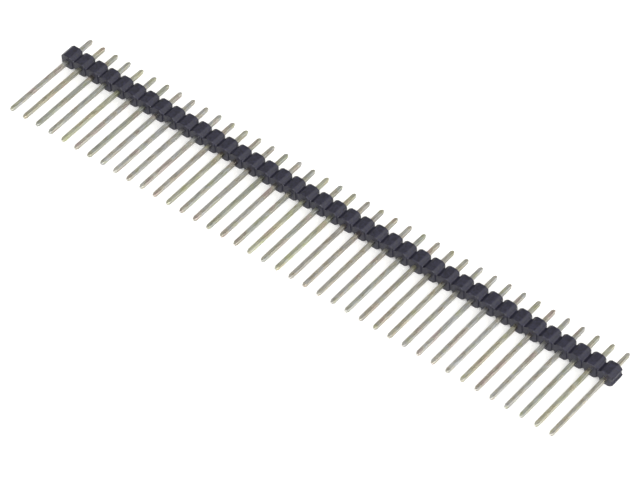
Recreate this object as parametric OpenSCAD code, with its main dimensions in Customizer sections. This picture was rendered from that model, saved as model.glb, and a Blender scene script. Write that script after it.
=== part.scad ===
// Straight break-away pin header, one row, with long posts.
// It lies as it comes to rest: on the lower front edge of its housing and on the tips of its posts.
// X runs along the row, the posts point along -Y, the solder tails along +Y, and Z is up.

/* [Row] */
// Number of pins, and of housing blocks
pin_count = 40; // [2:1:50]
// Distance from one pin to the next
pitch = 2.54; // [2:0.01:4]

/* [Housing] */
// Depth of the housing along the pins
body_depth = 2.4; // [1.5:0.1:9]
// Height of the housing across the pins
body_height = 2.54; // [2:0.02:4]
// Width of the flat on the top and bottom of each block
block_flat = 1.1; // [0.8:0.1:1.5]
// Height of the web that joins one block to the next
web_height = 1.4; // [0.9:0.1:1.7]
// Depth of the break notch in the back of each web
back_notch_depth = 0.5; // [0.05:0.01:0.7]
// Depth of the break notch in the front of each web
front_notch_depth = 0.12; // [0.05:0.01:0.5]
// Width of a break notch at its mouth
notch_mouth = 0.55; // [0.5:0.05:0.8]
// Width of a break notch at its bottom
notch_bottom = 0.45; // [0.1:0.05:0.5]
// How far the cut at the left end lies inside the last break line
left_trim = 0.14; // [0:0.01:0.3]
// Depth of the hollow where the web tore off at the right end
torn_depth = 0.16; // [0.05:0.01:0.3]
// Height of that hollow
torn_height = 0.9; // [0.4:0.1:1.2]

/* [Pins] */
// Side of the square pins
pin_side = 0.6; // [0.4:0.01:0.8]
// Length of each post in front of the housing
post_length = 12.2; // [5:0.1:25]
// Length of each solder tail behind the housing
tail_length = 3.1; // [2:0.1:12]
// Length of the chamfers at both ends of a pin
tip_length = 0.4; // [0.1:0.05:0.8]
// Side of the blunt square at both ends of a pin
tip_side = 0.32; // [0.1:0.02:0.4]
// Clearance between a pin and its hole, all round
pin_clearance = 0; // [0:0.01:0.05]

/* [Hidden] */

pin_length = post_length + body_depth + tail_length;
front_y = post_length - pin_length / 2;
back_y = front_y + body_depth;
hole_side = pin_side + 2 * pin_clearance;

// A side of the housing reaches half a pitch past its last pin, less any trim.
left_reach = pitch / 2 - left_trim;
right_reach = pitch / 2;
first_x = (left_reach - right_reach) / 2 - (pin_count - 1) * pitch / 2;
left_x = pin_x(1) - left_reach;
right_x = pin_x(pin_count) + right_reach;

// The posts sink until their lower chamfer edges are level with the housing's lower front edge.
rest_tilt = atan((body_height - pin_side) / 2 / (post_length - tip_length));
rest_lift = body_height / 2 * cos(rest_tilt) - front_y * sin(rest_tilt);

// How far a cut runs past the surface it opens
cut_over = 1;

function pin_name(i) = str("pin_", i < 10 ? "0" : "", i);
function pin_x(i) = first_x + (i - 1) * pitch;

// Upper outline of the block round pin i, from left to right, between its two webs
function block_top(i) = [
    [pin_x(i) - pitch / 2, web_height / 2],
    [pin_x(i) - block_flat / 2, body_height / 2],
    [pin_x(i) + block_flat / 2, body_height / 2]
];

// Lays the row, modelled level and centred on its pins, as it rests on a surface.
module at_rest() {
    translate([0, 0, rest_lift])
        rotate([rest_tilt, 0, 0])
            children();
}

// Extrudes an outline drawn in X and Z along Y.
module along_pins(from_y, to_y) {
    translate([0, to_y, 0])
        rotate([90, 0, 0])
            linear_extrude(height = to_y - from_y)
                children();
}

// Row of eight-sided blocks, whose chamfers meet in V grooves over and under each web
module block_row_outline() {
    top = concat(
        [for (i = [1 : pin_count]) each block_top(i)],
        [[pin_x(pin_count) + pitch / 2, web_height / 2]]
    );
    last = len(top) - 1;
    bottom = [for (k = [0 : last]) [top[last - k].x, -top[last - k].y]];
    polygon(concat(top, bottom));
}

module pin_hole(i) {
    translate([pin_x(i), 0])
        square(hole_side, center = true);
}

// Break notch, from the face at face_y inwards; inward is 1 or -1 along Y
module break_notch(x, face_y, depth, inward) {
    slope = (notch_mouth - notch_bottom) / 2 / depth;
    mouth_half = notch_mouth / 2 + slope * cut_over;
    translate([x, face_y, 0])
        linear_extrude(height = body_height + 2 * cut_over, center = true)
            polygon([
                [-mouth_half, -inward * cut_over],
                [mouth_half, -inward * cut_over],
                [notch_bottom / 2, inward * depth],
                [-notch_bottom / 2, inward * depth]
            ]);
}

// Hollow left in the right end face by the torn web
module torn_hollow() {
    flat_height = torn_height - 2 * torn_depth;
    along_pins(front_y - cut_over, back_y + cut_over)
        polygon([
            [right_x, -torn_height / 2],
            [right_x + cut_over, -torn_height / 2],
            [right_x + cut_over, torn_height / 2],
            [right_x, torn_height / 2],
            [right_x - torn_depth, flat_height / 2],
            [right_x - torn_depth, -flat_height / 2]
        ]);
}

module left_cut() {
    translate([left_x - pitch, front_y - cut_over, -body_height])
        cube([pitch, body_depth + 2 * cut_over, 2 * body_height]);
}

module housing() {
    color([0.16, 0.16, 0.18])
        at_rest()
            difference() {
                along_pins(front_y, back_y)
                    difference() {
                        block_row_outline();
                        for (i = [1 : pin_count])
                            pin_hole(i);
                    }
                for (i = [1 : pin_count - 1]) {
                    break_notch(pin_x(i) + pitch / 2, back_y, back_notch_depth, -1);
                    break_notch(pin_x(i) + pitch / 2, front_y, front_notch_depth, 1);
                }
                torn_hollow();
                left_cut();
            }
}

// Side view of a pin: a bar along Y, with both ends chamfered
module pin_profile() {
    shaft = pin_length / 2 - tip_length;
    polygon([
        [-tip_side / 2, -pin_length / 2],
        [tip_side / 2, -pin_length / 2],
        [pin_side / 2, -shaft],
        [pin_side / 2, shaft],
        [tip_side / 2, pin_length / 2],
        [-tip_side / 2, pin_length / 2],
        [-pin_side / 2, shaft],
        [-pin_side / 2, -shaft]
    ]);
}

// The same side view from above and from the side gives a square pin with four chamfers at each end.
module pin(i) {
    color([0.78, 0.76, 0.68])
        at_rest()
            translate([pin_x(i), 0, 0])
                intersection() {
                    linear_extrude(height = pin_side, center = true)
                        pin_profile();
                    rotate([0, 90, 0])
                        linear_extrude(height = pin_side, center = true)
                            pin_profile();
                }
}

housing();
for (i = [1 : pin_count])
    pin(i);
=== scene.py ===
"""Looks, floor, light and camera of the pin header strip.

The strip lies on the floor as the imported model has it: the row runs along X, the long posts point along -Y
and the solder tails along +Y. Lengths are in metres unless a name or comment says otherwise.
"""
import math

import bmesh
import bpy
from mathutils import Matrix, Vector, noise


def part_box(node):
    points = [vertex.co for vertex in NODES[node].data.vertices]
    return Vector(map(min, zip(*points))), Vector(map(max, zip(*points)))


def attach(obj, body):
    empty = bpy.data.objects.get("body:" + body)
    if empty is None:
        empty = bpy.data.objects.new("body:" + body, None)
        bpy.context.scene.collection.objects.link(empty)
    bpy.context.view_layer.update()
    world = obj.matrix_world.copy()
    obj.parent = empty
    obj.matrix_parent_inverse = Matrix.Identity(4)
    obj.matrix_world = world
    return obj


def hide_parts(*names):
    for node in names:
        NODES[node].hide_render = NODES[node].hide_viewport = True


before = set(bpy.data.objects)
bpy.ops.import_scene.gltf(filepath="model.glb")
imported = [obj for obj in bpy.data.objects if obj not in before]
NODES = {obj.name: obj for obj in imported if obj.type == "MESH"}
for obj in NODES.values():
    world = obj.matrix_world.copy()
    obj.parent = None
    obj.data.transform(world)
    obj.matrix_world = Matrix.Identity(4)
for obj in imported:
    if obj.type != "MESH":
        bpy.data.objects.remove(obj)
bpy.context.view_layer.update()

MM = 0.001
PIN_NAMES = sorted(name for name in NODES if name.startswith("pin_"))

# Camera
CAMERA_AZIMUTH = 39.93
CAMERA_ELEVATION = 45.16
CAMERA_DISTANCE = 0.503
CAMERA_LENS_MM = 201.27
CAMERA_CLIP_START = 0.01
CAMERA_CLIP_END = 20.0
SENSOR_WIDTH_MM = 36.0
AIM_POINT = Vector((2.887, -1.109, 1.27)) * MM

# Housing, in mm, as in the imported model
PITCH = 2.54
BODY_HEIGHT = 2.54
BLOCK_FLAT = 1.1
WEB_HEIGHT = 1.4
BACK_NOTCH_DEPTH = 0.5
FRONT_NOTCH_DEPTH = 0.12
NOTCH_MOUTH = 0.55
NOTCH_BOTTOM = 0.45
TORN_DEPTH = 0.16
TORN_HEIGHT = 0.9
FRONT_Y = 3.35
BACK_Y = 5.75

# Pins, in mm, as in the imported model
PIN_SIDE = 0.6
POST_LENGTH = 12.2
TIP_LENGTH = 0.4

# Moulded roundings of the housing, in mm: its front and back edges, a block's corners and a V groove
EDGE_RADIUS = 0.09
CORNER_BLEND = 0.1
GROOVE_BLEND = 0.06

# Roughness of the cut left end and of the torn right end, in mm, and how fast it varies
CUT_ROUGHNESS = 0.008
TORN_ROUGHNESS = 0.035
END_NOISE_PER_MM = 4.0

# Fineness of the housing's skin: steps in an edge, on each side of a corner and in a notch wall, the sizes of
# the loops in an end face as shares of its rim, and the digits of a mm to which cross-sections are placed
ARC_STEPS = 4
CORNER_STEPS = 3
NOTCH_STEPS = 4
END_FACE_RINGS = (0.88, 0.76, 0.64, 0.5, 0.36, 0.2)
STATION_DIGITS = 5
SHARP_ANGLE = math.radians(50)

# Softened edges of the pins
PIN_EDGE_WIDTH = 0.05 * MM
PIN_EDGE_SEGMENTS = 2
BEVEL_ANGLE = math.radians(25)
WELD_DISTANCE = 0.5e-6

# A face of a pin is one of its sheared ends where its normal has at least this share along Y.
END_FACE_SHARE = 0.97

# Colour sockets of a Mix node, whose names it repeats for every type of value
MIX_A = 6
MIX_B = 7
MIX_RESULT = 2

FLOOR_SIZE = 3.0

REST_TILT = math.atan((BODY_HEIGHT - PIN_SIDE) / 2 / (POST_LENGTH - TIP_LENGTH))
REST_LIFT = BODY_HEIGHT / 2 * math.cos(REST_TILT) - FRONT_Y * math.sin(REST_TILT)


def direction(azimuth, elevation):
    """Unit vector from the strip towards a camera or lamp at these angles, azimuth 0 being in front of it."""
    a, e = math.radians(azimuth), math.radians(elevation)
    return Vector((math.sin(a) * math.cos(e), -math.cos(a) * math.cos(e), math.sin(e)))


def aimed(obj, azimuth, elevation, distance, target):
    """Places a camera or lamp at these angles from the target, turned towards it and upright."""
    back = direction(azimuth, elevation)
    obj.location = target + back * distance
    obj.rotation_euler = back.to_track_quat("Z", "Y").to_euler()


def add_camera():
    data = bpy.data.cameras.new("camera")
    data.sensor_width = SENSOR_WIDTH_MM
    data.lens = CAMERA_LENS_MM
    data.clip_start = CAMERA_CLIP_START
    data.clip_end = CAMERA_CLIP_END
    camera = bpy.data.objects.new("camera", data)
    bpy.context.collection.objects.link(camera)
    aimed(camera, CAMERA_AZIMUTH, CAMERA_ELEVATION, CAMERA_DISTANCE, AIM_POINT)
    bpy.context.scene.camera = camera


def softbox(name, azimuth, elevation, distance, size, power):
    """Square soft lamp, size metres wide, that gives power watts towards the middle of the strip."""
    data = bpy.data.lights.new(name, "AREA")
    data.shape = "SQUARE"
    data.size = size
    data.energy = power
    lamp = bpy.data.objects.new(name, data)
    bpy.context.collection.objects.link(lamp)
    aimed(lamp, azimuth, elevation, distance, Vector((0.0, 0.0, 0.0)))
    return lamp


def set_world():
    world = bpy.data.worlds.new("studio")
    world.use_nodes = True
    background = world.node_tree.nodes["Background"]
    background.inputs["Color"].default_value = (1.0, 0.985, 0.96, 1.0)
    background.inputs["Strength"].default_value = 0.85
    bpy.context.scene.world = world


def new_material(name):
    material = bpy.data.materials.new(name)
    material.use_nodes = True
    tree = material.node_tree
    return material, tree, tree.nodes["Principled BSDF"]


def object_position(tree, scale):
    """Position on the object, scaled along each axis, for the textures to vary over."""
    coordinates = tree.nodes.new("ShaderNodeTexCoord")
    mapping = tree.nodes.new("ShaderNodeMapping")
    mapping.inputs["Scale"].default_value = scale
    tree.links.new(coordinates.outputs["Object"], mapping.inputs["Vector"])
    return mapping.outputs["Vector"]


def noise_texture(tree, vector, detail):
    """Noise from 0 to 1 whose scale is already in the vector."""
    texture = tree.nodes.new("ShaderNodeTexNoise")
    texture.inputs["Scale"].default_value = 1.0
    texture.inputs["Detail"].default_value = detail
    tree.links.new(vector, texture.inputs["Vector"])
    return texture.outputs["Fac"]


def ramp(tree, factor, stops):
    """Colour ramp whose stops are (position, colour)."""
    node = tree.nodes.new("ShaderNodeValToRGB")
    elements = node.color_ramp.elements
    while len(elements) < len(stops):
        elements.new(0.5)
    for element, (position, colour) in zip(elements, stops):
        element.position = position
        element.color = (*colour, 1.0)
    tree.links.new(factor, node.inputs["Fac"])
    return node.outputs["Color"]


def remap(tree, factor, low, high, centre_width=0.3):
    """Spreads the middle of a noise over low to high."""
    node = tree.nodes.new("ShaderNodeMapRange")
    node.inputs["From Min"].default_value = 0.5 - centre_width / 2
    node.inputs["From Max"].default_value = 0.5 + centre_width / 2
    node.inputs["To Min"].default_value = low
    node.inputs["To Max"].default_value = high
    tree.links.new(factor, node.inputs["Value"])
    return node.outputs["Result"]


def multiply(tree, first, second):
    """Product of two colours."""
    node = tree.nodes.new("ShaderNodeMix")
    node.data_type = "RGBA"
    node.blend_type = "MULTIPLY"
    node.inputs["Factor"].default_value = 1.0
    tree.links.new(first, node.inputs[MIX_A])
    tree.links.new(second, node.inputs[MIX_B])
    return node.outputs[MIX_RESULT]


def add_bump(tree, shader, height, distance, strength):
    bump = tree.nodes.new("ShaderNodeBump")
    bump.inputs["Distance"].default_value = distance
    bump.inputs["Strength"].default_value = strength
    tree.links.new(height, bump.inputs["Height"])
    tree.links.new(bump.outputs["Normal"], shader.inputs["Normal"])


def plastic_material():
    """Black moulded plastic: flow mottling, a spark-eroded texture and uneven gloss."""
    material, tree, shader = new_material("housing_plastic")
    mottling = noise_texture(tree, object_position(tree, (3200, 3200, 3200)), 4.0)
    flow = noise_texture(tree, object_position(tree, (350, 900, 700)), 2.0)
    grain = noise_texture(tree, object_position(tree, (9000, 9000, 9000)), 3.0)
    spots = ramp(tree, mottling, [(0.36, (0.0008, 0.0008, 0.006)), (0.64, (0.0125, 0.0122, 0.030))])
    clouds = ramp(tree, flow, [(0.35, (0.8, 0.82, 0.88)), (0.65, (1.0, 1.0, 1.0))])
    tree.links.new(multiply(tree, spots, clouds), shader.inputs["Base Color"])
    tree.links.new(remap(tree, mottling, 0.3, 0.52, 0.2), shader.inputs["Roughness"])
    shader.inputs["Specular IOR Level"].default_value = 0.43
    shader.inputs["Specular Tint"].default_value = (0.93, 0.92, 1.0, 1.0)
    add_bump(tree, shader, grain, 0.03 * MM, 0.7)
    return material


def pin_number(tree):
    """A value that is the same all over one pin and steps from pin to pin."""
    split = tree.nodes.new("ShaderNodeSeparateXYZ")
    tree.links.new(object_position(tree, (1, 1, 1)), split.inputs["Vector"])
    shifted = tree.nodes.new("ShaderNodeMath")
    shifted.operation = "SUBTRACT"
    shifted.inputs[1].default_value = pin_centre(PIN_NAMES[0]) * MM
    tree.links.new(split.outputs["X"], shifted.inputs[0])
    steps = tree.nodes.new("ShaderNodeMath")
    steps.operation = "DIVIDE"
    steps.inputs[1].default_value = PITCH * MM
    tree.links.new(shifted.outputs["Value"], steps.inputs[0])
    nearest = tree.nodes.new("ShaderNodeMath")
    nearest.operation = "ROUND"
    tree.links.new(steps.outputs["Value"], nearest.inputs[0])
    return nearest.outputs["Value"]


def cut_face(tree):
    """1 on the two sheared ends of a pin and 0 on its sides and chamfers."""
    geometry = tree.nodes.new("ShaderNodeNewGeometry")
    split = tree.nodes.new("ShaderNodeSeparateXYZ")
    tree.links.new(geometry.outputs["True Normal"], split.inputs["Vector"])
    size = tree.nodes.new("ShaderNodeMath")
    size.operation = "ABSOLUTE"
    tree.links.new(split.outputs["Y"], size.inputs[0])
    facing = tree.nodes.new("ShaderNodeMath")
    facing.operation = "GREATER_THAN"
    facing.inputs[1].default_value = END_FACE_SHARE
    tree.links.new(size.outputs["Value"], facing.inputs[0])
    return facing.outputs["Value"]


def tin_material():
    """Tin plate on drawn wire: a tint of its own on each pin, draw lines, stains and bright sheared ends."""
    material, tree, shader = new_material("tinned_pin")
    white_noise = tree.nodes.new("ShaderNodeTexWhiteNoise")
    white_noise.noise_dimensions = "1D"
    tree.links.new(pin_number(tree), white_noise.inputs["W"])
    tint = ramp(tree, white_noise.outputs["Value"], [
        (0.0, (0.512, 0.515, 0.43)),
        (0.3, (0.446, 0.424, 0.4)),
        (0.65, (0.486, 0.488, 0.494)),
        (1.0, (0.404, 0.415, 0.367)),
    ])
    draw_lines = noise_texture(tree, object_position(tree, (9000, 330, 9000)), 3.0)
    stains = noise_texture(tree, object_position(tree, (700, 450, 700)), 3.0)
    lines = ramp(tree, draw_lines, [(0.4, (0.62, 0.61, 0.59)), (0.6, (1.0, 1.0, 1.0))])
    hues = ramp(tree, stains, [
        (0.32, (1.0, 0.87, 0.83)),
        (0.45, (1.0, 0.985, 0.84)),
        (0.55, (0.96, 0.98, 1.0)),
        (0.68, (0.94, 0.97, 0.74)),
    ])
    colour = multiply(tree, multiply(tree, tint, lines), hues)
    ends = tree.nodes.new("ShaderNodeMix")
    ends.data_type = "RGBA"
    ends.inputs[MIX_B].default_value = (0.62, 0.61, 0.58, 1.0)
    tree.links.new(cut_face(tree), ends.inputs["Factor"])
    tree.links.new(colour, ends.inputs[MIX_A])
    tree.links.new(ends.outputs[MIX_RESULT], shader.inputs["Base Color"])
    shader.inputs["Metallic"].default_value = 1.0
    tree.links.new(remap(tree, stains, 0.22, 0.4), shader.inputs["Roughness"])
    add_bump(tree, shader, draw_lines, 0.008 * MM, 0.5)
    return material


def floor_material():
    """Pale matt floor that gives off a little light, as a lit studio table does."""
    material, tree, shader = new_material("floor")
    shader.inputs["Base Color"].default_value = (0.94, 0.94, 0.935, 1.0)
    shader.inputs["Roughness"].default_value = 0.9
    shader.inputs["Emission Color"].default_value = (1.0, 1.0, 1.0, 1.0)
    shader.inputs["Emission Strength"].default_value = 0.2
    return material


def set_material(obj, material):
    obj.data.materials.clear()
    obj.data.materials.append(material)


def soften_edges(obj, width, segments):
    """Rounds an object's edges, once the doubled corners of its mesh are welded."""
    weld = obj.modifiers.new("weld", "WELD")
    weld.merge_threshold = WELD_DISTANCE
    bevel = obj.modifiers.new("soft_edges", "BEVEL")
    bevel.width = width
    bevel.segments = segments
    bevel.limit_method = "ANGLE"
    bevel.angle_limit = BEVEL_ANGLE
    bevel.harden_normals = True


def pin_centre(name):
    """Middle of a pin along the row, in mm."""
    low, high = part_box(name)
    return (low[0] + high[0]) / 2 / MM


def block_top(u):
    """Height of a block's upper surface at u mm from its pin, with the corner and the groove rounded."""
    slope = (BODY_HEIGHT - WEB_HEIGHT) / (PITCH - BLOCK_FLAT)
    past_corner = u - BLOCK_FLAT / 2
    from_groove = PITCH / 2 - u
    if past_corner <= -CORNER_BLEND:
        return BODY_HEIGHT / 2
    if past_corner < CORNER_BLEND:
        return BODY_HEIGHT / 2 - slope * (past_corner + CORNER_BLEND) ** 2 / (4 * CORNER_BLEND)
    if from_groove < GROOVE_BLEND:
        return WEB_HEIGHT / 2 + slope * (GROOVE_BLEND + from_groove ** 2 / GROOVE_BLEND) / 2
    return WEB_HEIGHT / 2 + slope * from_groove


def notch_share(from_joint):
    """How far into a break notch a point lies, 0 at its mouth and 1 at its bottom, eased at both."""
    wall = (NOTCH_MOUTH - NOTCH_BOTTOM) / 2
    share = min(max((NOTCH_MOUTH / 2 - from_joint) / wall, 0.0), 1.0)
    return share * share * (3 - 2 * share)


def half_block_stations():
    """Distances from a pin, in mm, at which the housing has a cross-section."""
    corner_steps = range(-CORNER_STEPS, CORNER_STEPS + 1)
    corner = [BLOCK_FLAT / 2 + CORNER_BLEND * k / CORNER_STEPS for k in corner_steps]
    mouth = PITCH / 2 - NOTCH_MOUTH / 2
    wall_width = (NOTCH_MOUTH - NOTCH_BOTTOM) / 2
    wall = [mouth + wall_width * k / NOTCH_STEPS for k in range(NOTCH_STEPS + 1)]
    groove = [PITCH / 2 - GROOVE_BLEND, PITCH / 2 - GROOVE_BLEND / 2]
    return [PIN_SIDE / 2] + corner + wall + groove


def section_loop(x, top, front, back, inset):
    """Closed cross-section of the housing at x: up the front, over the top, down the back and underneath."""
    radius = EDGE_RADIUS
    front, back, top = front + inset, back - inset, top - inset
    angles = [math.pi / 2 * k / ARC_STEPS for k in range(ARC_STEPS + 1)]
    front_arc = [(front + radius * (1 - math.cos(a)), top - radius * (1 - math.sin(a))) for a in angles]
    back_arc = [(back - radius * (1 - math.sin(a)), top - radius * (1 - math.cos(a))) for a in angles]
    heights = [PIN_SIDE / 2, TORN_HEIGHT / 2]
    upper = [(front, z) for z in heights] + front_arc + back_arc + [(back, z) for z in reversed(heights)]
    lower = [(y, -z) for y, z in reversed(upper)]
    return [Vector((x, y, z)) for y, z in upper + lower]


def section_at(x, centres, inset=0.0):
    """Cross-section at x, with the height and the break notches that the row has there."""
    u = min(abs(x - min(centres, key=lambda c: abs(c - x))), PITCH / 2)
    share = notch_share(PITCH / 2 - u) if centres[0] < x < centres[-1] else 0.0
    front = FRONT_Y + FRONT_NOTCH_DEPTH * share
    back = BACK_Y - BACK_NOTCH_DEPTH * share
    return section_loop(x, block_top(u), front, back, inset)


def hollow_at(z, depth):
    """How far the torn hollow reaches into an end at this height, with sloping sides."""
    return min(max(TORN_HEIGHT / 2 - abs(z), 0.0), depth)


def end_loops(end_x, inward, centres, depth, roughness):
    """Rounded rim of an end of the row and its broken face, from the outside of the row to its middle."""
    loops = []
    for k in range(ARC_STEPS + 1):
        a = math.pi / 2 * k / ARC_STEPS
        x = end_x + inward * EDGE_RADIUS * (1 - math.sin(a))
        loops.append(section_at(x, centres, EDGE_RADIUS * (1 - math.cos(a))))
    rim = loops[-1]
    middle = sum(rim, Vector()) / len(rim)
    loops += [[middle + (point - middle) * size for point in rim] for size in END_FACE_RINGS]
    for loop in loops:
        for point in loop:
            rough = roughness * (1 + noise.noise(point * END_NOISE_PER_MM))
            point.x += inward * (hollow_at(point.z, depth) + rough)
    return loops


def station_positions(centres, left, right):
    """Where along the row, in mm, the skin has a cross-section between its two rounded ends."""
    positions = [(a + b) / 2 for a, b in zip(centres, centres[1:])]
    for centre in centres:
        for u in half_block_stations():
            positions += [centre - u, centre + u]
    margin = EDGE_RADIUS + 2 * CUT_ROUGHNESS
    torn_margin = EDGE_RADIUS + TORN_DEPTH + 2 * TORN_ROUGHNESS
    placed = {round(x, STATION_DIGITS) for x in positions}
    return sorted(x for x in placed if left + margin < x < right - torn_margin)


def add_tunnel(mesh, before, after, corners):
    """The four walls of a pin hole between two neighbouring cross-sections."""
    mesh.faces.new([before[k] for k in corners])
    mesh.faces.new([after[k] for k in corners])
    for top, bottom in ((corners[0], corners[1]), (corners[2], corners[3])):
        mesh.faces.new((before[top], before[bottom], after[bottom], after[top]))


def add_housing(material):
    """The housing as one closed skin, swept from cross-section to cross-section along the row."""
    centres = [pin_centre(name) for name in PIN_NAMES]
    low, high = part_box("housing")
    left, right = low[0] / MM, high[0] / MM
    loops = end_loops(left, 1, centres, 0.0, CUT_ROUGHNESS)[::-1]
    loops += [section_at(x, centres) for x in station_positions(centres, left, right)]
    loops += end_loops(right, -1, centres, TORN_DEPTH, TORN_ROUGHNESS)

    mesh = bmesh.new()
    rings = [[mesh.verts.new(point) for point in loop] for loop in loops]
    count = len(rings[0])
    holes = (count // 2 - 1, count - 1)
    corners = (0, count // 2 - 1, count // 2, count - 1)
    for before, after in zip(rings, rings[1:]):
        x = (before[0].co.x + after[0].co.x) / 2
        # Only the stretch from one side of a pin to the other has its middle this near to the pin's.
        over_pin = any(abs(x - c) < PIN_SIDE / 4 for c in centres)
        for k in range(count):
            if not (over_pin and k in holes):
                following = (k + 1) % count
                mesh.faces.new((before[k], before[following], after[following], after[k]))
        if over_pin:
            add_tunnel(mesh, before, after, corners)
    for ring in (rings[0], rings[-1]):
        mesh.faces.new(ring)
    bmesh.ops.recalc_face_normals(mesh, faces=mesh.faces)
    at_rest = Matrix.Translation((0, 0, REST_LIFT)) @ Matrix.Rotation(REST_TILT, 4, "X")
    bmesh.ops.transform(mesh, matrix=Matrix.Scale(MM, 4) @ at_rest, verts=mesh.verts)

    data = bpy.data.meshes.new("housing_moulding")
    mesh.to_mesh(data)
    mesh.free()
    data.shade_smooth()
    data.set_sharp_from_angle(angle=SHARP_ANGLE)
    moulding = bpy.data.objects.new("housing_moulding", data)
    bpy.context.collection.objects.link(moulding)
    weighting = moulding.modifiers.new("even_shading", "WEIGHTED_NORMAL")
    weighting.keep_sharp = True
    set_material(moulding, material)
    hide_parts("housing")
    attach(moulding, "root")


def add_floor():
    bpy.ops.mesh.primitive_plane_add(size=FLOOR_SIZE, location=(0, 0, 0))
    floor = bpy.context.active_object
    floor.name = "floor"
    set_material(floor, floor_material())


add_camera()
set_world()
softbox("key_light", azimuth=55, elevation=40, distance=0.8, size=0.6, power=5.5)
softbox("rim_light", azimuth=125, elevation=40, distance=0.8, size=0.35, power=1.2)
# The corner light shows in glossy reflections only: it adds the glints on the block corners.
corner_light = softbox("corner_light", azimuth=12, elevation=36, distance=0.26, size=0.09, power=1.0)
corner_light.visible_diffuse = False
add_floor()

add_housing(plastic_material())
tin = tin_material()
for name in PIN_NAMES:
    set_material(NODES[name], tin)
    soften_edges(NODES[name], PIN_EDGE_WIDTH, PIN_EDGE_SEGMENTS)

bpy.context.scene.view_settings.view_transform = "Standard"
